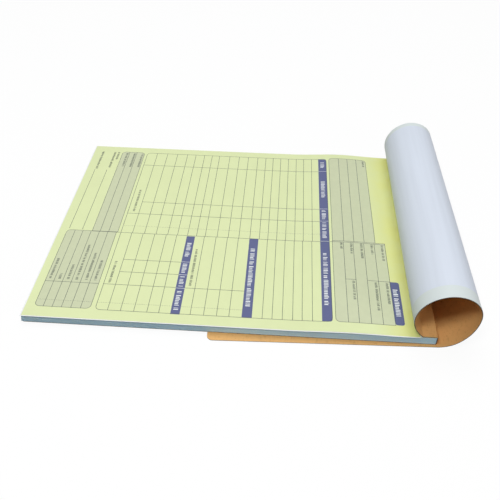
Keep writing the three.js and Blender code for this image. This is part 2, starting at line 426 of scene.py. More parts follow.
def back_board_finish(name, cover):
    """The back panel, spine and stub panel: kraft outside, white between the two panels, and the cut
    edges at either side. The inner faces lie one thickness in, and the masks start just before them."""
    board, kraft = kraft_board(name, cover)
    low, high = corners(BACK)
    height = board.coordinate("Z")
    above = height > float(low[2] + cover.board * 0.9)
    below = height < float(high[2] - cover.board * 0.98)
    before = board.coordinate("X") < float(high[0] - cover.board * 0.9)
    side = board.coordinate("Y")
    cut = (side < float(low[1] + CUT_REACH * MM)) + (side > float(high[1] - CUT_REACH * MM))
    board.colour(board.mix(cut, board.mix(above * below * before, kraft, cover.lining), cover.cut))
    return board


def lining_finish(name, cover):
    """Inner face of the flap: a tinted panel with soft printed edges inside white margins. The piece's
    UV map holds the place on the flat flap in metres: from the score, and from the near edge."""
    face = Finish(name, {"Roughness": 0.5, "Specular IOR Level": 0.35})
    flat = face.node("ShaderNodeUVMap", {"uv_map": "flat"})
    near, far = PANEL_MARGINS[0], PAGE_WIDTH - PANEL_MARGINS[1]

    def band(value, low, high):
        """1 between two places in millimetres, and 0 outside them."""
        rise, fall = [face.step(value, (place - PANEL_BLUR) * MM, (place + PANEL_BLUR) * MM)
                      for place in (low, high)]
        return rise * (1 - fall)

    panel = band(face.coordinate("Y", flat), near, far) * band(face.coordinate("X", flat), *PANEL_ENDS)
    streaks = face.step(face.noise(170.0, 3.0, (1.0, 0.03, 1.0)), 0.35, 0.7)
    tone = face.mix(panel, cover.lining, cover.panel)
    face.colour(face.mix(streaks * panel * 0.5, tone, tinted(cover.panel, 0.9)))
    face.bump(face.noise(1800.0, 3.0), LINING_DEPTH)
    return face


def board_edge_finish(name, cover):
    """Cut edge of the board: grey-buff, with fibres along it."""
    edge = Finish(name, {"Roughness": 0.85, "Specular IOR Level": 0.2})
    fibres = edge.step(edge.noise(1200.0, 3.0), 0.35, 0.7)
    edge.colour(edge.mix(fibres, tinted(cover.cut, 1.05), tinted(cover.cut, 0.82)))
    return edge


def ink_finish(name, tone):
    """Offset ink: flat, slightly uneven in strength."""
    ink = Finish(name, {"Roughness": 0.6, "Specular IOR Level": 0.3})
    uneven = ink.step(ink.noise(260.0, 3.0), 0.3, 0.75)
    ink.colour(ink.mix(uneven, tone, tinted(tone, 1.03)))
    return ink


def steel_finish(name, tone):
    """Bright drawn wire, with fine lines from the die."""
    steel = Finish(name, {"Metallic": 1.0})
    lines = steel.noise(3000.0, 2.0, (1.0, 0.05, 0.05))
    steel.roughness(0.22 + lines * 0.16)
    steel.colour(steel.mix(steel.step(lines, 0.3, 0.7), tone, tinted(tone, 0.9)))
    return steel


# Meshes


# Angle in degrees above which an edge is sharp
SHARP = 40.0


def unit(vectors):
    """Vectors over their lengths."""
    return vectors / np.linalg.norm(vectors, axis=-1, keepdims=True)


def smooth(value, low, high):
    """0 below low, 1 above high and a smooth step between."""
    share = np.clip((value - low) / (high - low), 0, 1)
    return share * share * (3 - 2 * share)


def between(first, second, share):
    """The first at 0, the second at 1, and a straight way from one to the other."""
    return first * (1 - share) + second * share


def cubic(t, start, out, end, into):
    """A cubic curve that leaves its start along out and reaches its end along into: the sum of the four,
    times 2t^3 - 3t^2 + 1, t^3 - 2t^2 + t, 3t^2 - 2t^3 and t^3 - t^2."""
    return ((2 * t**3 - 3 * t**2 + 1) * start + (t**3 - 2 * t**2 + t) * out
            + (3 * t**2 - 2 * t**3) * end + (t**3 - t**2) * into)


def cubic_slope(t, start, out, end, into):
    """The direction of that curve: the same sum, with each factor's slope in its place."""
    return ((6 * t**2 - 6 * t) * start + (3 * t**2 - 4 * t + 1) * out
            + (6 * t - 6 * t**2) * end + (3 * t**2 - 2 * t) * into)


def quarter_rise(radius, count):
    """How far a quarter circle has come from its tangent, at even steps round it."""
    return radius * (1 - np.cos(np.linspace(0, math.pi / 2, count)))


def inset(radius, distance):
    """How far a rounded corner draws in at a distance from the side: the radius less the height of its
    circle there."""
    return radius - np.sqrt(radius**2 - np.clip(radius - distance, 0, radius) ** 2)


def to_frame(points):
    """From millimetres at the pad's corner to the frame's metres."""
    return np.asarray(points, float) * MM + ORIGIN


def grid_faces(rows, columns):
    """Quads of a grid of points counted row by row."""
    index = np.arange(rows * columns).reshape(rows, columns)
    quads = np.stack([index[:-1, :-1], index[1:, :-1], index[1:, 1:], index[:-1, 1:]], -1)
    return quads.reshape(-1, 4)


def shell(middle, normal, thickness):
    """A closed sheet about a grid of middle points: the points half the thickness away along the normal
    to either side, and a wall round the rim. Its faces are the front, the back and then the wall, and
    the third result numbers them 0, 1 and 2."""
    rows, columns = middle.shape[:2]
    count = rows * columns
    away = unit(normal) * thickness / 2
    points = np.concatenate([(middle + away).reshape(-1, 3), (middle - away).reshape(-1, 3)])
    front = grid_faces(rows, columns)
    back = front[:, ::-1] + count
    index = np.arange(count).reshape(rows, columns)
    rim = np.concatenate([index[0, :-1], index[:-1, -1], index[-1, :0:-1], index[:0:-1, 0]])
    after = np.roll(rim, -1)
    wall = np.stack([rim, after, after + count, rim + count], -1)
    faces = np.concatenate([front, back, wall])
    sides = np.repeat([0, 1, 2], [len(front), len(back), len(wall)])
    return points, faces, sides


def joined(parts):
    """Several (points, faces, side numbers) as one."""
    starts = np.cumsum([0] + [len(p) for p, _, _ in parts[:-1]])
    points = np.concatenate([p for p, _, _ in parts])
    faces = np.concatenate([f + s for (_, f, _), s in zip(parts, starts)])
    sides = np.concatenate([s for _, _, s in parts])
    return points, faces, sides


def grid_normals(middle):
    """Normal of a grid of points: the cross product of its two directions."""
    down = np.gradient(middle, axis=0)
    across = np.gradient(middle, axis=1)
    return unit(np.cross(down, across))


def leaf_sheet(middle):
    """One leaf about a grid whose rows run down the page, with its front face up."""
    points, faces, sides = shell(middle, -grid_normals(middle), LEAF)
    return points, faces[:, ::-1], sides


def new_object(name, points, faces, materials, sharp=SHARP):
    """An object at the origin, from points in metres, smooth but for its sharp edges."""
    mesh = bpy.data.meshes.new(name)
    mesh.from_pydata(points.tolist(), [], faces)
    for material in materials:
        mesh.materials.append(material)
    mesh.polygons.foreach_set("use_smooth", np.ones(len(faces), bool))
    mesh.update()
    mesh.set_sharp_from_angle(angle=math.radians(sharp))
    made = bpy.data.objects.new(name, mesh)
    bpy.context.scene.collection.objects.link(made)
    return made


def add_piece(name, points, faces, sides, materials, flat_place=None):
    """A piece from points in millimetres, with a material for each side number. Where its places on the
    flat sheet are given, they are its UV map."""
    piece = new_object(name, to_frame(points), faces.tolist(), materials)
    mesh = piece.data
    mesh.polygons.foreach_set("material_index", np.asarray(sides, np.int32))
    if flat_place is not None:
        layer = mesh.uv_layers.new(name="flat")
        corner = np.zeros(len(mesh.loops), np.int32)
        mesh.loops.foreach_get("vertex_index", corner)
        layer.data.foreach_set("uv", (flat_place[corner] * MM).astype(np.float32).ravel())
    mesh.update()
    return piece


# The rolled flap


# Grid of a skin, rows of the fold at the score and of the tail, and points on the tail's round corners
SKIN_ROWS = 49
SKIN_COLUMNS = 25
FOLD_ROWS = 13
TAIL_ROWS = 39
TAIL_ARC = 9

# Where along the first panel the fold passes into the skin, and the pull of the fold's two ends
FOLD_START = 0.09
FOLD_PULL = 1.05


def rotated(vector, axis, angle):
    """A vector turned about a unit axis by an angle: the cosine's share of itself, the sine's share of its
    cross product with the axis, and what the cosine leaves of its part along the axis."""
    return (vector * math.cos(angle) + np.cross(axis, vector) * math.sin(angle)
            + axis * (vector @ axis) * (1 - math.cos(angle)))


def angle_between(first, second):
    """The angle whose cosine is the dot product of the two directions."""
    return math.acos(max(-1.0, min(1.0, float(unit(first) @ unit(second)))))


def places_along(line):
    """Distance of each point of a line from its first, measured along it."""
    return np.concatenate([[0], np.cumsum(np.linalg.norm(np.diff(line, axis=0), axis=1))])


class Roll:
    """The flap's smooth surface through the crease lines of the frame. Between two creases a line of
    constant distance from the near edge is a cubic curve whose ends halve the turn of the creases."""

    def __init__(self):
        """Reads the hinges of the flap, a point and the direction of each crease, from the frame."""
        joints = [j for j in frame["joints"] if j["name"].startswith("cover_")]
        self.bodies = [joints[0]["parent"]] + [j["child"] for j in joints]
        self.points = (np.array([j["pos_m"] for j in joints]) - ORIGIN) / MM
        self.axes = unit(np.array([j["axis"] for j in joints], float))
        self.last = len(joints) - 1
        self.lay_panels()
        self.near = self.edge(self.points[0])
        self.far = self.edge(self.points[0] + PAGE_WIDTH * self.widths[0])
        self.near_place, self.far_place = places_along(self.near), places_along(self.far)
        self.set_tangents()

    def lay_panels(self):
        """The flat panels between the creases: the direction along the flap in each, and the one across
        it. They are the crease and the line square to it, turned by the angle that the creases before
        it have made with each other on the flat flap."""
        flat_angle = 0.0
        headings, widths = [], []
        for k, axis in enumerate(self.axes):
            if k:
                flat_angle += angle_between(self.axes[k - 1], axis)
            if k < self.last:
                across = self.points[k + 1] - self.points[k]
            else:
                across = np.cross([0.0, 0.0, 1.0], axis)
            across = unit(across - axis * (across @ axis))
            headings.append(across * math.cos(flat_angle) - axis * math.sin(flat_angle))
            widths.append(across * math.sin(flat_angle) + axis * math.cos(flat_angle))
        self.headings, self.widths = np.array(headings), np.array(widths)
        before = [np.array([-1.0, 0.0, 0.0])] + headings[:-1]
        self.turns = np.array([angle_between(a, b) for a, b in zip(before, headings)])

    def edge(self, first):
        """Where a line along the flat flap from a point of the first crease meets the other creases."""
        found = [first]
        for k in range(1, self.last + 1):
            heading, axis = self.headings[k - 1], self.axes[k]
            system = np.stack([heading, -axis], 1)
            steps = np.linalg.lstsq(system, self.points[k] - found[-1], rcond=None)[0]
            found.append(found[-1] + steps[0] * heading)
        return np.array(found)

    def set_tangents(self):
        """Direction of the surface at each crease, halfway between the panels that meet there, how far
        it bends from one crease to the next, and how far the surface at the middle of each panel lags
        behind the flat panel: a quarter of the turn at the crease after it, and in the last panel a
        quarter of that turn with half the one before it."""
        tangents = [rotated(self.headings[0], self.axes[0], -self.turns[1] / 2)]
        tangents += [unit(before + after) for before, after in zip(self.headings[:-2], self.headings[1:-1])]
        tangents.append(self.headings[-1])
        self.tangents = np.array(tangents)
        self.bends = np.array([angle_between(a, b) for a, b in zip(tangents[:-1], tangents[1:])])
        self.lags = np.append(self.turns[1:-1], self.turns[-2] / 2 + self.turns[-1]) / 4

    def weights(self, k):
        """Shares of the turn at crease k that the two ends of its skin have: each end differs from none
        and all by the lag of its panel's middle, but the first skin starts on the flat panel's tangent
        and the last one ends on the tail."""
        first = self.lags[k - 1] / self.turns[k] if k else 1 - self.turns[1] / 2 / self.turns[0]
        second = 1 - self.lags[k] / self.turns[k] if k < self.last else 1.0
        return first, second

    def surface(self, along, across):
        """Points, normals and flat places at a row of numbers along the roll, whose whole part counts
        the creases, and a row of shares across it. The cubic's pull at both ends is its chord over the
        squared cosine of a quarter of the bend, and its normal is square to it and to the crease."""
        k = np.minimum(along.astype(int), self.last - 1)
        t = along - k
        share = across[None, :, None]
        start, end = [between(self.near[i][:, None], self.far[i][:, None], share) for i in (k, k + 1)]
        chord = np.linalg.norm(end - start, axis=2, keepdims=True)
        pull = chord / np.cos(self.bends[k] / 4)[:, None, None] ** 2
        curve = (start, self.tangents[k][:, None] * pull, end, self.tangents[k + 1][:, None] * pull)
        points = cubic(t[:, None, None], *curve)
        normals = unit(np.cross(cubic_slope(t[:, None, None], *curve), np.gradient(points, axis=1)))
        near, far = [between(place[k], place[k + 1], t)[:, None]
                     for place in (self.near_place, self.far_place)]
        u = between(near, far, across)
        v = np.broadcast_to(across * PAGE_WIDTH, u.shape)
        return points, normals, np.stack([u, v], -1)

    def tail(self, across, length, radius):
        """The flat end, from the last crease to the free end, whose corners are quarter circles: each
        row is drawn in by the inset of the circle there."""
        near = self.near_place[-1]
        start = between(near, self.far_place[-1], across)
        straight = np.linspace(0, 1, TAIL_ROWS + 1)[:-1, None]
        ends = length - quarter_rise(radius, TAIL_ARC)[::-1, None]
        u = np.concatenate([between(start, length - radius, straight), np.repeat(ends, len(across), 1)])
        side = inset(radius, length - u[:, :1])
        v = side + (PAGE_WIDTH - 2 * side) * across
        points = self.near[-1] + (u - near)[..., None] * self.headings[-1] + v[..., None] * self.widths[-1]
        normals = np.broadcast_to(np.cross(self.headings[-1], self.widths[-1]), points.shape)
        return points, normals, np.stack([u, v], -1)


def step_place(weight):
    """Where a smooth step has that height: the inverse of 3t^2 - 2t^3."""
    return 0.5 - math.sin(math.asin(1 - 2 * weight) / 3)


def bend_between(piece, crease_axis, lines, weights):
    """Works out where a smooth step between two bodies would start and end, so that the first line would
    have the first weight and the second line the second, and bakes the piece's place into its mesh; it is
    not bent."""
    middles = [line.mean(0) for line in lines]
    heading = middles[1] - middles[0]
    heading = unit(heading - crease_axis * (heading @ crease_axis))
    places = [float(middle @ heading) for middle in middles]
    first, second = [step_place(w) for w in weights]
    length = (places[1] - places[0]) / (second - first)
    start = middles[0] - heading * first * length
    tuple(to_frame(start + heading * length))
    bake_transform(piece)


def board_piece(name, cover, points, normals, flat):
    """A stretch of the flap as closed board: the lining, the kraft face and the cut edges."""
    materials = [finished("lining", lining_finish, cover), finished("kraft", kraft_finish, cover),
                 finished("board_edge", board_edge_finish, cover)]
    both_faces = np.tile(flat.reshape(-1, 2), (2, 1))
    piece = add_piece(name, *shell(points, normals, cover.board / MM), materials, both_faces)
    return piece


def make_skins(cover, roll, across):
    """A skin over each crease, from the middle of the panel before it to the middle of the one after,
    where its neighbours join."""
    for k in range(roll.last + 1):
        low, high = max(k - 0.5, 0.0), min(k + 0.5, float(roll.last))
        along = np.linspace(max(low, FOLD_START), high, SKIN_ROWS)
        piece = board_piece(f"flap_skin_{k + 1:02d}", cover, *roll.surface(along, across))
        ends = roll.surface(np.array([low, high]), across)[0]
        bend_between(piece, roll.axes[k], ends, roll.weights(k))
        if k < roll.last:
            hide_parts(roll.bodies[k + 1])


def make_score_fold(cover, roll, across):
    """The fold at the score: a cubic curve from the end of the stub panel, lying flat, up to the first
    skin. It works out the share of the turn that the skin has where they meet, but nothing bends by it."""
    height = roll.near[0][2]
    first = np.stack([np.full(SKIN_COLUMNS, -cover.stub_panel / MM), across * PAGE_WIDTH,
                      np.full(SKIN_COLUMNS, height)], -1)
    end, _, end_flat = roll.surface(np.array([FOLD_START]), across)
    pull = np.linalg.norm(end[0] - first, axis=1, keepdims=True) * FOLD_PULL
    t = np.linspace(0, 1, FOLD_ROWS)[:, None, None]
    points = cubic(t, first, np.array([-1.0, 0.0, 0.0]) * pull, end[0], roll.tangents[0] * pull)
    fold = board_piece("score_fold", cover, points, grid_normals(points), t * end_flat)
    start, middle = roll.surface(np.array([0.0, 0.5]), across)[0].mean(1)
    heading = middle - start
    share = (end[0].mean(0) - start) @ heading / (heading @ heading)
    low, high = [step_place(weight) for weight in roll.weights(0)]
    end_weight = float(smooth(between(low, high, share), 0, 1))
    bend_between(fold, roll.axes[0], [first, end[0]], [0.0, end_weight])


def make_tail(cover, roll, across):
    """The flat end of the flap, under the pad."""
    tail = board_piece("flap_tail_sheet", cover, *roll.tail(across, cover.flap / MM, cover.corner / MM))
    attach(tail, TAIL)
    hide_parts(TAIL)


def make_flap(cover):
    """The whole front flap."""
    roll = Roll()
    across = np.linspace(0, 1, SKIN_COLUMNS)
    make_skins(cover, roll, across)
    make_score_fold(cover, roll, across)
    make_tail(cover, roll, across)


# Leaves


# Distances from the head between which the hump of the top leaf rises, and between which it falls
HUMP_RISE = (12.0, 75.0)
HUMP_FALL = (45.0, 105.0)

# Share of the hump that the highest leaf of the blocks has
TOP_OF_BLOCKS = 0.4

# Small waves of the paper: their height, how far they lift it, and where they start from the head
WAVE = 0.03
WAVE_LIFT = 0.05
WAVE_START = (15.0, 60.0)

# Rows down a leaf: fine ones as far as the hump goes, then coarse ones, or about this many steps in a
# leaf that lies flat. Columns across a leaf
FINE_ROWS = 96.0
FINE_STEP = 2.0
COARSE_STEP = 6.0
FLAT_STEPS = 4
LEAF_COLUMNS = 37
BLOCK_COLUMNS = 13

# The white leaf under the top copy, and how far it reaches past it, at the near side and at the foot
PROUD_LEAF = "white_02"
WHITE_PAST_COPY = 0.8

# The stack is a little out of true: how far the lowest leaf reaches past the top one at the foot, how
# far any leaf strays from its place, and the seed of its strays
FOOT_SLANT = 1.3
STRAY = 0.008
STRAY_SEED = 11


def hump(x, y, paper):
    """How far the top leaf stands off the pad: nothing at the perforation, a smooth rise in front of the
    roll, low enough to lie under the closed flap, and a slow fall towards the middle of the page. It
    grows from the near edge to the far one."""
    height = between(paper.near_hump, paper.far_hump, y / PAGE_WIDTH) / MM
    return height * smooth(-x, *HUMP_RISE) * (1 - smooth(-x, *HUMP_FALL))


def ripple(x, y):
    """Small waves of the paper: two crossing sine waves and a slanting one, a little above the flat
    leaf, which die out towards the perforation."""
    wave = np.sin(x / 31.0 + 0.7) * np.sin(y / 37.0 + 0.4) + 0.6 * np.sin(x / 17.0 - y / 41.0)
    return (WAVE * wave + WAVE_LIFT) * smooth(-x, *WAVE_START)


def leaf_place(node, share, paper):
    """The surface of a loose leaf, as a function of x and y: its middle height in the frame, and its
    share of the hump and waves."""
    low, high = corners(node)
    level = float(low[2] + high[2]) / 2 / MM

    def surface(x, y):
        return np.stack([x, y, level + share * (hump(x, y, paper) + ripple(x, y))], -1)

    return surface


def block_place(level, share, paper):
    """The surface of a leaf in a block, as a function of x and y: its height, and its share of the
    hump."""
    def surface(x, y):
        return np.stack([x, y, level + share * hump(x, y, paper)], -1)

    return surface


def page_rows(low, high):
    """Places down a page between two distances from the head: fine steps, then coarse ones."""
    near = np.arange(low, min(high, low + FINE_ROWS), FINE_STEP)
    rest = np.linspace(near[-1] + FINE_STEP, high, max(2, int((high - near[-1]) / COARSE_STEP)))
    return -np.concatenate([near, rest])


def make_leaves(paper):
    """Each loose leaf with its ties across the perforation."""
    for name, carrier, share, tie_length in LOOSE_LEAVES:
        low, high = (corners(name) - ORIGIN) / MM
        surface = leaf_place(name, share, paper)
        rows = page_rows(-high[0], -low[0])
        columns = np.linspace(0, PAGE_WIDTH, LEAF_COLUMNS)
        if name == PROUD_LEAF:
            rows[-1] -= WHITE_PAST_COPY
            columns[0] -= WHITE_PAST_COPY
        y, x = np.meshgrid(columns, rows)
        parts = [leaf_sheet(surface(x, y))]
        for tie in np.arange(TIE_PITCH, PAGE_WIDTH - TIE_WIDTH, TIE_PITCH):
            y, x = np.meshgrid([tie, tie + TIE_WIDTH], [high[0] + tie_length, high[0]])
            parts.append(leaf_sheet(surface(x, y)))
        piece = add_piece(f"{name}_leaf", *joined(parts), [leaf_material(name, paper)] * 3)
        bend_at_perforation(piece)
        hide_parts(name)


def bend_at_perforation(piece):
    """Bakes a piece's place into its mesh; it is not bent at the perforation."""
    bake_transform(piece)


def make_blocks(paper):
    """Closed sets: each block is a stack of single leaves, white and canary by turns, none cut quite
    true. Each lies a pitch below the last and reaches further at the foot, in step with its depth. Only
    the first block shares the hump, so the leaves of the others have few rows."""
    materials = [leaf_material("white", paper), leaf_material("canary", paper),
                 finished("cut_paper", cut_edge_finish, paper.cut)]
    generator = np.random.default_rng(STRAY_SEED)
    across = np.linspace(0, 1, BLOCK_COLUMNS)
    top, bottom = [(corners(name)[end] - ORIGIN)[2] / MM for name, end in ((BLOCKS[0], 1), (BLOCKS[-1], 0))]
    for rank, name in enumerate(BLOCKS):
        low, high = (corners(name) - ORIGIN) / MM
        count = int(round((high[2] - low[2]) / LEAF_PITCH))
        leaves = []
        for i in range(count):
            head_stray, foot_stray, near, far = generator.uniform(-STRAY, STRAY, 4)
            level = high[2] - LEAF / 2 - i * LEAF_PITCH
            foot = low[0] - foot_stray - FOOT_SLANT * (top - level) / (top - bottom)
            rows = page_rows(-high[0] + abs(head_stray), -foot)
            if rank:
                rows = rows[:: len(rows) // FLAT_STEPS]
                rows[-1] = foot
            share = 0.0 if rank else TOP_OF_BLOCKS * (1 - i / count)
            y, x = np.meshgrid(between(near, PAGE_WIDTH + far, across), rows)
            points, faces, sides = leaf_sheet(block_place(level, share, paper)(x, y))
            leaves.append((points, faces, np.where(sides == 2, 2, i % 2)))
        piece = add_piece(f"{name}_leaves", *joined(leaves), materials)
        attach(piece, "pad")
        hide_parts(name)


# Print. Places on the form: c from the far edge of the page, r from the head edge of the pad


TINT, BAR, RULE, MARK = range(4)
LIFTS = (0.015, 0.025, 0.035, 0.045)
INK_DEPTH = 0.01

# Corners of a box, clockwise on the page, as signs of c and r
CORNERS = ((-1, -1), (1, -1), (1, 1), (-1, 1))
HEAD_LOW, HEAD_HIGH, FOOT_HIGH, FOOT_LOW = CORNERS
BAR_CORNER = 2.0
BOX_CORNER = 3.4
PRINT_ARC = 7

# Tinted boxes and dark heading bars: c from, c to, r from, r to, and the corners that are round
TINTED_BOXES = (
    ((122.0, 206.8, 27.0, 68.7), (FOOT_HIGH,)),
    ((6.5, 122.0, 34.5, 68.5), (HEAD_LOW, FOOT_LOW)),
    ((8.0, 123.0, 242.5, 263.5), (HEAD_LOW, FOOT_LOW)),
    ((123.0, 206.5, 243.5, 284.0), (FOOT_LOW, FOOT_HIGH, HEAD_HIGH)),
)
HEADING_BARS = (
    ((164.5, 206.5, 20.5, 27.3), (HEAD_HIGH, HEAD_LOW, FOOT_HIGH)),
    ((8.0, 207.0, 71.0, 78.3), (HEAD_LOW, HEAD_HIGH)),
    ((123.0, 206.8, 127.8, 135.0), ()),
    ((124.0, 207.5, 179.0, 185.7), ()),
)
TABLE = (8.2, 207.0, 71.0, 239.8)

# Rules across the page: c from, c to, and their places down it
RULES_ACROSS = (
    (8.2, 123.3, (84.5, 91.8, 98.7, 106.0, 113.2, 120.3, 127.2, 134.8, 143.7, 152.3, 161.3, 171.0, 178.0,
                  185.3, 193.5, 201.5, 211.0, 220.5, 230.3)),
    (123.3, 207.0, (85.0, 92.3, 99.0, 106.3, 113.5, 120.5)),
    (123.3, 207.0, (144.0, 152.8, 162.0, 171.5)),
    (123.3, 207.0, (194.0, 202.5, 212.0, 221.5, 230.8)),
    (123.3, 206.8, (35.5, 43.8, 52.3, 60.0)),
    (123.3, 206.8, (250.5, 257.5, 264.3, 271.0, 277.5)),
    (6.5, 122.0, (43.3, 51.5, 59.5)),
    (8.0, 123.0, (250.0, 257.0)),
    (38.0, 122.0, (272.0,)),
    (38.0, 121.0, (283.0,)),
)

# Rules down the page: c, r from, r to
UPRIGHTS = (
    (28.0, 78.3, 239.3),
    (82.5, 78.3, 230.3),
    (98.5, 78.3, 239.3),
    (123.3, 27.0, 263.5),
    (164.5, 27.0, 43.5),
    (164.5, 52.0, 60.0),
    (181.5, 135.0, 179.0),
    (181.5, 185.7, 240.0),
    (154.5, 185.7, 230.8),
    (168.0, 185.7, 230.8),
    (181.5, 243.5, 284.0),
)
DOTTED_UPRIGHTS = (
    (114.5, 78.3, 239.3),
    (200.0, 135.0, 179.0),
    (200.0, 185.7, 240.0),
    (200.0, 243.5, 284.0),
)

# From one dot of a dotted rule to the next, and its width as a share of a plain rule's
DOT_STEP = 1.3
DOT_WIDTH = 0.6

# Short cuts through the heading bars: c, r from, r to
SEPARATORS = (
    (27.5, 71.0, 78.3),
    (82.0, 71.0, 78.3),
    (98.0, 71.0, 78.3),
    (123.0, 71.0, 78.3),
    (154.0, 179.0, 185.7),
    (168.0, 179.0, 185.7),
    (182.0, 179.0, 185.7),
)

# Rows of marks: c from, c to, r of the middle
PALE_MARKS = (
    (172.0, 199.0, 24.0),
    (13.5, 23.0, 74.7),
    (43.0, 67.0, 74.7),
    (83.8, 95.8, 74.7),
    (100.0, 120.5, 74.7),
    (137.0, 192.0, 74.7),
    (135.0, 197.0, 131.5),
    (132.0, 149.0, 182.4),
    (156.0, 166.5, 182.4),
    (169.8, 180.8, 182.4),
    (185.0, 204.0, 182.4),
)
DARK_MARKS = (
    (124.0, 142.0, 29.4),
    (165.8, 187.0, 29.4),
    (124.0, 136.0, 37.6),
    (166.0, 194.0, 37.6),
    (124.0, 141.0, 45.8),
    (124.0, 137.0, 53.8),
    (166.0, 185.0, 54.2),
    (124.0, 131.5, 61.6),
    (8.0, 17.0, 36.8),
    (66.0, 96.0, 235.0),
    (139.0, 180.0, 175.5),
    (157.0, 180.0, 235.8),
    (10.0, 32.0, 244.3),
    (10.0, 32.0, 251.7),
    (10.0, 32.0, 258.8),
    (157.0, 179.0, 247.0),
    (149.0, 179.0, 253.7),
    (140.0, 179.0, 261.0),
    (163.0, 179.0, 267.5),
    (173.0, 179.0, 274.0),
    (157.0, 179.0, 281.0),
    (9.0, 21.0, 267.0),
    (9.0, 34.0, 270.6),
    (9.0, 38.0, 282.0),
)
PALE_HEIGHT = 3.4
DARK_HEIGHT = 1.9

# A mark's least and greatest width, its two heights with the odds of each, the usual and the wide gap
# after it, the odds of the usual one, and the least room that is left for a mark. All sizes are shares
# of the row's height. The seed gives the same marks on each leaf
MARK_WIDTHS = (0.12, 0.3)
MARK_HEIGHTS = (0.8, 1.0)
HEIGHT_ODDS = (0.3, 0.7)
MARK_GAPS = (0.22, 0.6)
GAP_ODDS = 0.85
LAST_MARK = 0.25
MARK_SEED = 5

# Steps of the print's grids: across the page, down it over the hump, down the rest in boxes and rules,
# and round an outline
ACROSS_STEP = 7.0
HUMP_END = 100.0
HUMP_STEP = 2.0
BOX_STEP = 8.0
RULE_STEP = 6.0
OUTLINE_STEP = 3.0


def print_patch(surface, c, r, lift):
    """A thin closed slab of ink on a leaf, over a grid of places on the form."""
    middle = surface(-r, PAGE_WIDTH - c)
    normal = np.zeros_like(middle)
    normal[..., 2] = 1
    middle = middle + normal * (LEAF / 2 + lift)
    return shell(middle, normal, INK_DEPTH)


def places_across(c_from, c_to):
    """Even places across the page between two."""
    return np.linspace(c_from, c_to, max(2, int((c_to - c_from) / ACROSS_STEP) + 2))


def steps_down(r_from, r_to, step):
    """How many rows a mark has down the page: closer ones where the hump is."""
    return max(2, int((r_to - r_from) / (HUMP_STEP if r_from < HUMP_END else step)) + 2)


def box_patch(surface, box, lift, rounded, radius):
    """A box of ink: rows between its two ends, which draw in at each round corner by the inset of a
    quarter circle."""
    c_from, c_to, r_from, r_to = box
    if rounded:
        arc = quarter_rise(radius, PRINT_ARC)
        count = max(2, int((c_to - c_from) / ACROSS_STEP))
        inner = np.linspace(c_from + radius, c_to - radius, count)[1:-1]
        c = np.concatenate([c_from + arc, inner, c_to - arc[::-1]])
    else:
        c = places_across(c_from, c_to)
    insets = {-1: inset(radius, c - c_from), 1: inset(radius, c_to - c)}
    ends = {-1: np.full(len(c), r_from), 1: np.full(len(c), r_to)}
    for c_sign, r_sign in rounded:
        ends[r_sign] = ends[r_sign] - r_sign * insets[c_sign]
    share = np.linspace(0, 1, steps_down(r_from, r_to, BOX_STEP))[:, None]
    r = between(ends[-1], ends[1], share)
    return print_patch(surface, np.broadcast_to(c, r.shape), r, lift)


def outline_patch(surface, box, width, lift, rounded):
    """A thin outline round a box, clockwise on the page: at a round corner the middle of the line
    follows a quarter circle, elsewhere it keeps to the side of the box."""
    c_from, c_to, r_from, r_to = box
    turns = []
    for turn, signs in enumerate(CORNERS):
        corner = np.array([c_to if signs[0] > 0 else c_from, r_to if signs[1] > 0 else r_from])
        ways = np.array([signs], float)
        if signs in rounded:
            angle = math.radians(180 + 90 * turn) + np.linspace(0, math.pi / 2, PRINT_ARC)
            ways = np.stack([np.cos(angle), np.sin(angle)], -1)
            turns.append((corner + BOX_CORNER * (ways - signs), ways))
        else:
            turns.append((corner[None, :], ways))
    stations, directions = [], []
    for turn, (points, ways) in enumerate(turns):
        after = turns[(turn + 1) % 4][0][0]
        count = max(3, int(np.abs(after - points[-1]).max() / OUTLINE_STEP))
        side = between(points[-1], after, np.linspace(0, 1, count)[1:-1, None])
        angle = math.radians(270 + 90 * turn)
        stations += [points, side]
        directions += [ways, np.broadcast_to([math.cos(angle), math.sin(angle)], side.shape)]
    stations = np.concatenate(stations + [stations[0][:1]])
    directions = np.concatenate(directions + [directions[0][:1]])
    both = np.stack([stations + directions * width / 2, stations - directions * width / 2])
    return print_patch(surface, both[..., 0], both[..., 1], lift)


def rule_across(surface, r, c_from, c_to, width, lift):
    """A strip of a width about a place down the page."""
    grid_c, grid_r = np.meshgrid(places_across(c_from, c_to), [r - width / 2, r + width / 2])
    return print_patch(surface, grid_c, grid_r, lift)


def rule_down(surface, c, r_from, r_to, width, lift):
    """A strip of a width about a place across the page."""
    rows = np.linspace(r_from, r_to, steps_down(r_from, r_to, RULE_STEP))
    grid_c, grid_r = np.meshgrid([c - width / 2, c + width / 2], rows)
    return print_patch(surface, grid_c, grid_r, lift)


def marks(surface, row, height, lift, generator):
    """A row of small upright blocks of varied width, with a wider gap now and then."""
    c, end, middle = row
    foot = middle + height / 2
    made = []
    while c < end - height * LAST_MARK:
        width = height * generator.uniform(*MARK_WIDTHS)
        tall = height * generator.choice(MARK_HEIGHTS, p=HEIGHT_ODDS)
        grid_c, grid_r = np.meshgrid([c, min(c + width, end)], [foot - tall, foot])
        made.append(print_patch(surface, grid_c, grid_r, lift))
        c += width + height * MARK_GAPS[0 if generator.uniform() < GAP_ODDS else 1]
    return made


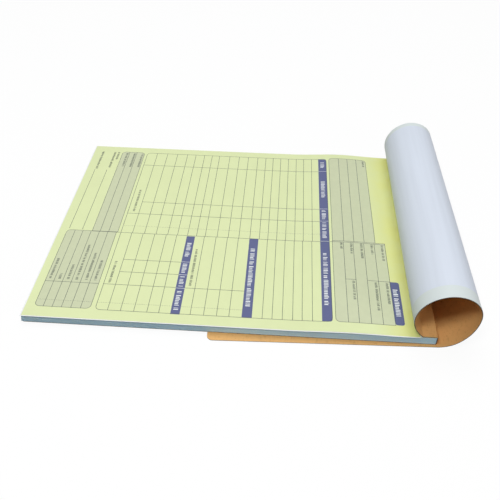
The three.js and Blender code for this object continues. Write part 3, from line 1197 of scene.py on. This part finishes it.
def form_print(surface, width):
    """The ruled form on one leaf, with rules of a width: (points, faces, ink numbers)."""
    generator = np.random.default_rng(MARK_SEED)
    layers = {TINT: [], BAR: [], RULE: [], MARK: []}
    lift = LIFTS[RULE]
    for box, rounded in TINTED_BOXES:
        layers[TINT].append(box_patch(surface, box, LIFTS[TINT], rounded, BOX_CORNER))
        layers[RULE].append(outline_patch(surface, box, width, lift, rounded))
    layers[RULE].append(outline_patch(surface, TABLE, width, lift, CORNERS))
    for box, rounded in HEADING_BARS:
        layers[BAR].append(box_patch(surface, box, LIFTS[BAR], rounded, BAR_CORNER))
    for c_from, c_to, rows in RULES_ACROSS:
        layers[RULE] += [rule_across(surface, r, c_from, c_to, width, lift) for r in rows]
    for c, r_from, r_to in UPRIGHTS:
        layers[RULE].append(rule_down(surface, c, r_from, r_to, width, lift))
    for c, r_from, r_to in DOTTED_UPRIGHTS:
        layers[RULE] += [rule_down(surface, c, r, r + DOT_STEP / 2, width * DOT_WIDTH, lift)
                         for r in np.arange(r_from, r_to - DOT_STEP / 2, DOT_STEP)]
    for c, r_from, r_to in SEPARATORS:
        layers[MARK].append(rule_down(surface, c, r_from, r_to, width, LIFTS[MARK]))
    for row in PALE_MARKS:
        layers[MARK] += marks(surface, row, PALE_HEIGHT, LIFTS[MARK], generator)
    for row in DARK_MARKS:
        layers[RULE] += marks(surface, row, DARK_HEIGHT, LIFTS[MARK], generator)
    return joined([(points, faces, np.full(len(faces), layer)) for layer in layers
                   for points, faces, _ in layers[layer]])


def printed(name, surface, ink):
    """The form on one leaf, with darker boxes on canary paper than on white."""
    if name.startswith("canary"):
        tint = finished("tint_on_canary", ink_finish, ink.tint)
    else:
        tint = finished("tint_on_white", ink_finish, ink.pale_tint)
    inks = [tint, finished("bar_ink", ink_finish, ink.bar), finished("rule_ink", ink_finish, ink.rule),
            finished("bare_paper", ink_finish, ink.bare)]
    return add_piece(f"{name}_print", *form_print(surface, ink.rule_width / MM), inks)


def make_print(ink, paper):
    """The form on each loose leaf and on the highest leaf of the blocks."""
    for name, carrier, share, _ in LOOSE_LEAVES:
        piece = printed(name, leaf_place(name, share, paper), ink)
        bend_at_perforation(piece)
    level = float(corners(BLOCKS[0])[1][2]) / MM - LEAF / 2
    piece = printed(BLOCKS[0], block_place(level, TOP_OF_BLOCKS, paper), ink)
    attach(piece, "pad")


# Stitches


# How far a clinched end reaches along the back and how high it ends, the radius of the wire's bends,
# the points of a bend and of the wire's section, and the sharp angle that keeps the section smooth
CLINCH = 4.2
CLINCH_RISE = 0.05
WIRE_BEND = 0.45
BEND_POINTS = 7
SECTION_POINTS = 16
WIRE_SHARP = 50.0


def wire_path(corners_yz):
    """A path through corner points, each turned with a parabola that starts and ends a bend's radius
    away."""
    path = [corners_yz[0]]
    turn = np.linspace(0, 1, BEND_POINTS)[:, None]
    for before, corner, after in zip(corners_yz[:-2], corners_yz[1:-1], corners_yz[2:]):
        start = corner + unit(before - corner) * WIRE_BEND
        end = corner + unit(after - corner) * WIRE_BEND
        path.extend((1 - turn) ** 2 * start + 2 * turn * (1 - turn) * corner + turn**2 * end)
    path.append(corners_yz[-1])
    return np.array(path)


def wire_tube(path, middle_x, half_width, half_thick):
    """Rings of an oval carried along a path in the yz plane: wide along x, thin along the path's
    normal. The result is the points, and the faces with a cap at each end."""
    heading = unit(np.gradient(path, axis=0))
    normal = np.stack([-heading[:, 1], heading[:, 0]], -1)
    angles = np.linspace(0, 2 * math.pi, SECTION_POINTS + 1)[:-1]
    rings = np.zeros((len(path), SECTION_POINTS, 3))
    rings[..., 0] = middle_x + half_width * np.cos(angles)
    rings[..., 1:] = path[:, None] + normal[:, None] * (half_thick * np.sin(angles))[None, :, None]
    index = np.arange(len(path) * SECTION_POINTS).reshape(len(path), SECTION_POINTS)
    after = np.roll(index, -1, axis=1)
    quads = np.stack([index[:-1], after[:-1], after[1:], index[1:]], -1).reshape(-1, 4)
    return rings.reshape(-1, 3), quads.tolist() + [index[0, ::-1].tolist(), index[-1].tolist()]


def make_stitches(wire):
    """Each stitch is an oval wire carried along its path: crown, two legs, and ends clinched inwards."""
    steel = finished("stitch_steel", steel_finish, wire.steel)
    half_width, half_thick = wire.width / MM / 2, wire.thickness / MM / 2
    for name in STITCHES:
        low, high = (corners(name) - ORIGIN) / MM
        top, bottom = high[2] - half_thick, low[2] + half_thick
        left, right = low[1] + half_thick, high[1] - half_thick
        clinched = bottom + CLINCH_RISE
        path = wire_path(np.array([(left + CLINCH, clinched), (left, bottom), (left, top), (right, top),
                                   (right, bottom), (right - CLINCH, clinched)]))
        points, faces = wire_tube(path, (low[0] + high[0]) / 2, half_width, half_thick)
        piece = new_object(f"{name}_wire", to_frame(points), faces, [steel], WIRE_SHARP)
        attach(piece, "pad")
        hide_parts(name)


# Stage


# The camera: azimuth, elevation and roll in degrees, place and nearest seen distance in metres, lens
# and image width in millimetres
CAMERA_AZIMUTH = 3.53
CAMERA_ELEVATION = 42.73
CAMERA_ROLL = 0.48
CAMERA_PLACE = (0.02103, -0.37866, 0.33472)
CAMERA_LENS = 43.97
CAMERA_WIDTH = 36.0
CAMERA_NEAREST = 0.01

# Lamps: place and what each faces, in metres, its size and its colour. Its power is a setting
LAMPS = {
    "key": ((-0.35, -0.62, 1.2), (0.0, 0.0, 0.0), 0.3, (1.0, 0.99, 0.97)),
    "low": ((0.8, -0.85, 0.32), (0.13, -0.11, 0.02), 0.3, (1.0, 0.99, 0.97)),
    "top": ((0.0, 0.38, 1.38), (0.0, 0.0, 0.0), 0.9, (0.98, 0.99, 1.0)),
}
SKY_TONE = (0.93, 0.97, 1.0, 1.0)
WHITE = (1.0, 1.0, 1.0, 1.0)

# A lamp's side axis is square to this direction, and no lamp faces along it
LAMP_UPRIGHT = (0.0, 1.0, 0.01)

# The floor: its radius in metres, how far it lies below the tail, and its sides
FLOOR_RADIUS = 3.0
FLOOR_DROP = 0.0001
FLOOR_SIDES = 64


def stand(name, data, right, up, back, place):
    """A camera or lamp at its place, with its own three axes in those directions."""
    matrix = np.eye(4)
    matrix[:3] = np.stack([right, up, back, place], 1)
    made = bpy.data.objects.new(name, data)
    made.matrix_world = Matrix(matrix.tolist())
    bpy.context.scene.collection.objects.link(made)
    return made


def make_camera():
    """The photograph's view: the camera looks from its azimuth and elevation, and its two other axes
    are turned by its roll."""
    azimuth, elevation, roll = [math.radians(a) for a in (CAMERA_AZIMUTH, CAMERA_ELEVATION, CAMERA_ROLL)]
    back = np.array([math.sin(azimuth) * math.cos(elevation), -math.cos(azimuth) * math.cos(elevation),
                     math.sin(elevation)])
    right = unit(np.cross([0, 0, 1], back))
    up = np.cross(back, right)
    data = bpy.data.cameras.new("camera")
    data.lens = CAMERA_LENS
    data.sensor_width = CAMERA_WIDTH
    data.clip_start = CAMERA_NEAREST
    turned_right = right * math.cos(roll) + up * math.sin(roll)
    turned_up = up * math.cos(roll) - right * math.sin(roll)
    bpy.context.scene.camera = stand("camera", data, turned_right, turned_up, back, CAMERA_PLACE)


def seen_directly(finish):
    """1 for camera, glossy and transmission rays, else 0."""
    kinds = [finish.node("ShaderNodeLightPath", output=ray) for ray in
             ("Is Camera Ray", "Is Glossy Ray", "Is Transmission Ray")]
    return kinds[0] + kinds[1] + kinds[2] > 0.5


def floor_finish(name, stage):
    """A pale floor that is white where it is seen, but for a share of the shadow on it."""
    floor = Finish(name, {"Roughness": 0.9, "Specular IOR Level": 0.1})
    floor.colour(floor.mix(seen_directly(floor), stage.bounce, stage.floor))
    glow = floor.node("ShaderNodeEmission", {}, {"Color": WHITE, "Strength": 1.0}, output="Emission")
    lit = Maths(floor, floor.shader.outputs["BSDF"])
    share = seen_directly(floor) * (1 - stage.shadow)
    mixed = floor.node("ShaderNodeMixShader", {}, {0: share, 1: lit, 2: glow})
    out = floor.tree.nodes["Material Output"]
    floor.tree.links.new(mixed.socket, out.inputs["Surface"])
    return floor


def make_world(stage):
    """Even light, and plain white where it is seen."""
    world = bpy.data.worlds.new("studio")
    world.use_nodes = True
    world.node_tree.nodes.clear()
    sky = Nodes(world.node_tree)
    light = sky.node("ShaderNodeBackground", {}, {"Color": SKY_TONE, "Strength": stage.sky})
    plain_white = sky.node("ShaderNodeBackground", {}, {"Color": WHITE, "Strength": 1.0})
    mixed = sky.node("ShaderNodeMixShader", {}, {0: seen_directly(sky), 1: light, 2: plain_white})
    sky.node("ShaderNodeOutputWorld", {}, {"Surface": mixed}, output=None)
    bpy.context.scene.world = world


def make_lamp(name, place, target, size, tone, power):
    """A square lamp that faces a target."""
    data = bpy.data.lights.new(name, "AREA")
    data.size = size
    data.energy = power
    data.color = tone
    back = unit(np.array(place, float) - target)
    right = unit(np.cross(LAMP_UPRIGHT, back))
    stand(name, data, right, np.cross(back, right), back, place)


def make_floor(stage):
    """A round floor, level with the underside of the tail."""
    angles = np.linspace(0, 2 * math.pi, FLOOR_SIDES + 1)[:-1]
    rim = np.stack([np.cos(angles), np.sin(angles), np.zeros(FLOOR_SIDES)], -1) * FLOOR_RADIUS
    rim[:, 2] = -FLOOR_DROP
    material = finished("floor", floor_finish, stage)
    new_object("floor", rim, [list(range(FLOOR_SIDES))], [material])


def make_stage(stage):
    """Camera, even light, floor and lamps."""
    make_camera()
    make_world(stage)
    make_floor(stage)
    for name, lamp in LAMPS.items():
        make_lamp(name, *lamp, getattr(stage, name))
    bpy.context.scene.view_settings.view_transform = "Standard"


def make_back_and_stubs(cover, paper):
    """Better finishes on the CAD nodes that stay: the cover's back and the stubs."""
    chosen = {name: leaf_material(name, paper) for name in STUBS}
    chosen[BACK] = finished("back_board", back_board_finish, cover)
    for name, material in chosen.items():
        node = frame["nodes"][name]
        node.data.materials.clear()
        node.data.materials.append(material)


# Add-on


class BookOperator:
    """What the book's operators share"""

    bl_options = {"REGISTER", "UNDO"}

    @classmethod
    def poll(cls, context):
        return context.scene is not None


class BOOK_OT_flap(BookOperator, bpy.types.Operator):
    """Makes the rolled front flap of the cover"""

    bl_idname = "book.flap"
    bl_label = "Rolled flap"

    def execute(self, context):
        make_flap(context.scene.book_cover)
        return {"FINISHED"}


class BOOK_OT_back(BookOperator, bpy.types.Operator):
    """Finishes the back of the cover and the stubs"""

    bl_idname = "book.back"
    bl_label = "Back and stubs"

    def execute(self, context):
        make_back_and_stubs(context.scene.book_cover, context.scene.book_paper)
        return {"FINISHED"}


class BOOK_OT_leaves(BookOperator, bpy.types.Operator):
    """Makes the loose leaves"""

    bl_idname = "book.leaves"
    bl_label = "Loose leaves"

    def execute(self, context):
        make_leaves(context.scene.book_paper)
        return {"FINISHED"}


class BOOK_OT_blocks(BookOperator, bpy.types.Operator):
    """Makes the closed sets of the pad, leaf by leaf"""

    bl_idname = "book.blocks"
    bl_label = "Closed sets"

    def execute(self, context):
        make_blocks(context.scene.book_paper)
        return {"FINISHED"}


class BOOK_OT_print(BookOperator, bpy.types.Operator):
    """Prints the ruled form on the leaves"""

    bl_idname = "book.print"
    bl_label = "Ruled form"

    def execute(self, context):
        make_print(context.scene.book_print, context.scene.book_paper)
        return {"FINISHED"}


class BOOK_OT_stitches(BookOperator, bpy.types.Operator):
    """Makes the wire stitches"""

    bl_idname = "book.stitches"
    bl_label = "Wire stitches"

    def execute(self, context):
        make_stitches(context.scene.book_wire)
        return {"FINISHED"}


class BOOK_OT_stage(BookOperator, bpy.types.Operator):
    """Sets up the camera, the floor and the light"""

    bl_idname = "book.stage"
    bl_label = "Stage"

    def execute(self, context):
        make_stage(context.scene.book_stage)
        return {"FINISHED"}


OPERATORS = (BOOK_OT_stage, BOOK_OT_back, BOOK_OT_flap, BOOK_OT_leaves, BOOK_OT_blocks, BOOK_OT_print,
             BOOK_OT_stitches)


class BOOK_PT_panel(bpy.types.Panel):
    """Lists the pieces of the book"""

    bl_idname = "BOOK_PT_panel"
    bl_label = "Invoice book"
    bl_space_type = "VIEW_3D"
    bl_region_type = "UI"
    bl_category = "Invoice book"

    def draw(self, context):
        for operator in OPERATORS:
            self.layout.operator(operator.bl_idname)


def register():
    """Adds the settings, the operators and the panel."""
    for name, settings in SETTINGS.items():
        bpy.utils.register_class(settings)
        setattr(bpy.types.Scene, name, bpy.props.PointerProperty(type=settings))
    for operator in OPERATORS:
        bpy.utils.register_class(operator)
    bpy.utils.register_class(BOOK_PT_panel)


def unregister():
    """Takes away what register adds."""
    bpy.utils.unregister_class(BOOK_PT_panel)
    for operator in reversed(OPERATORS):
        bpy.utils.unregister_class(operator)
    for name, settings in SETTINGS.items():
        delattr(bpy.types.Scene, name)
        bpy.utils.unregister_class(settings)


def main():
    """Dresses the frame."""
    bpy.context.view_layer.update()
    register()
    bpy.ops.book.stage()
    bpy.ops.book.back()
    bpy.ops.book.flap()
    bpy.ops.book.leaves()
    bpy.ops.book.blocks()
    bpy.ops.book.print()
    bpy.ops.book.stitches()


if __name__ == "__main__":
    main()
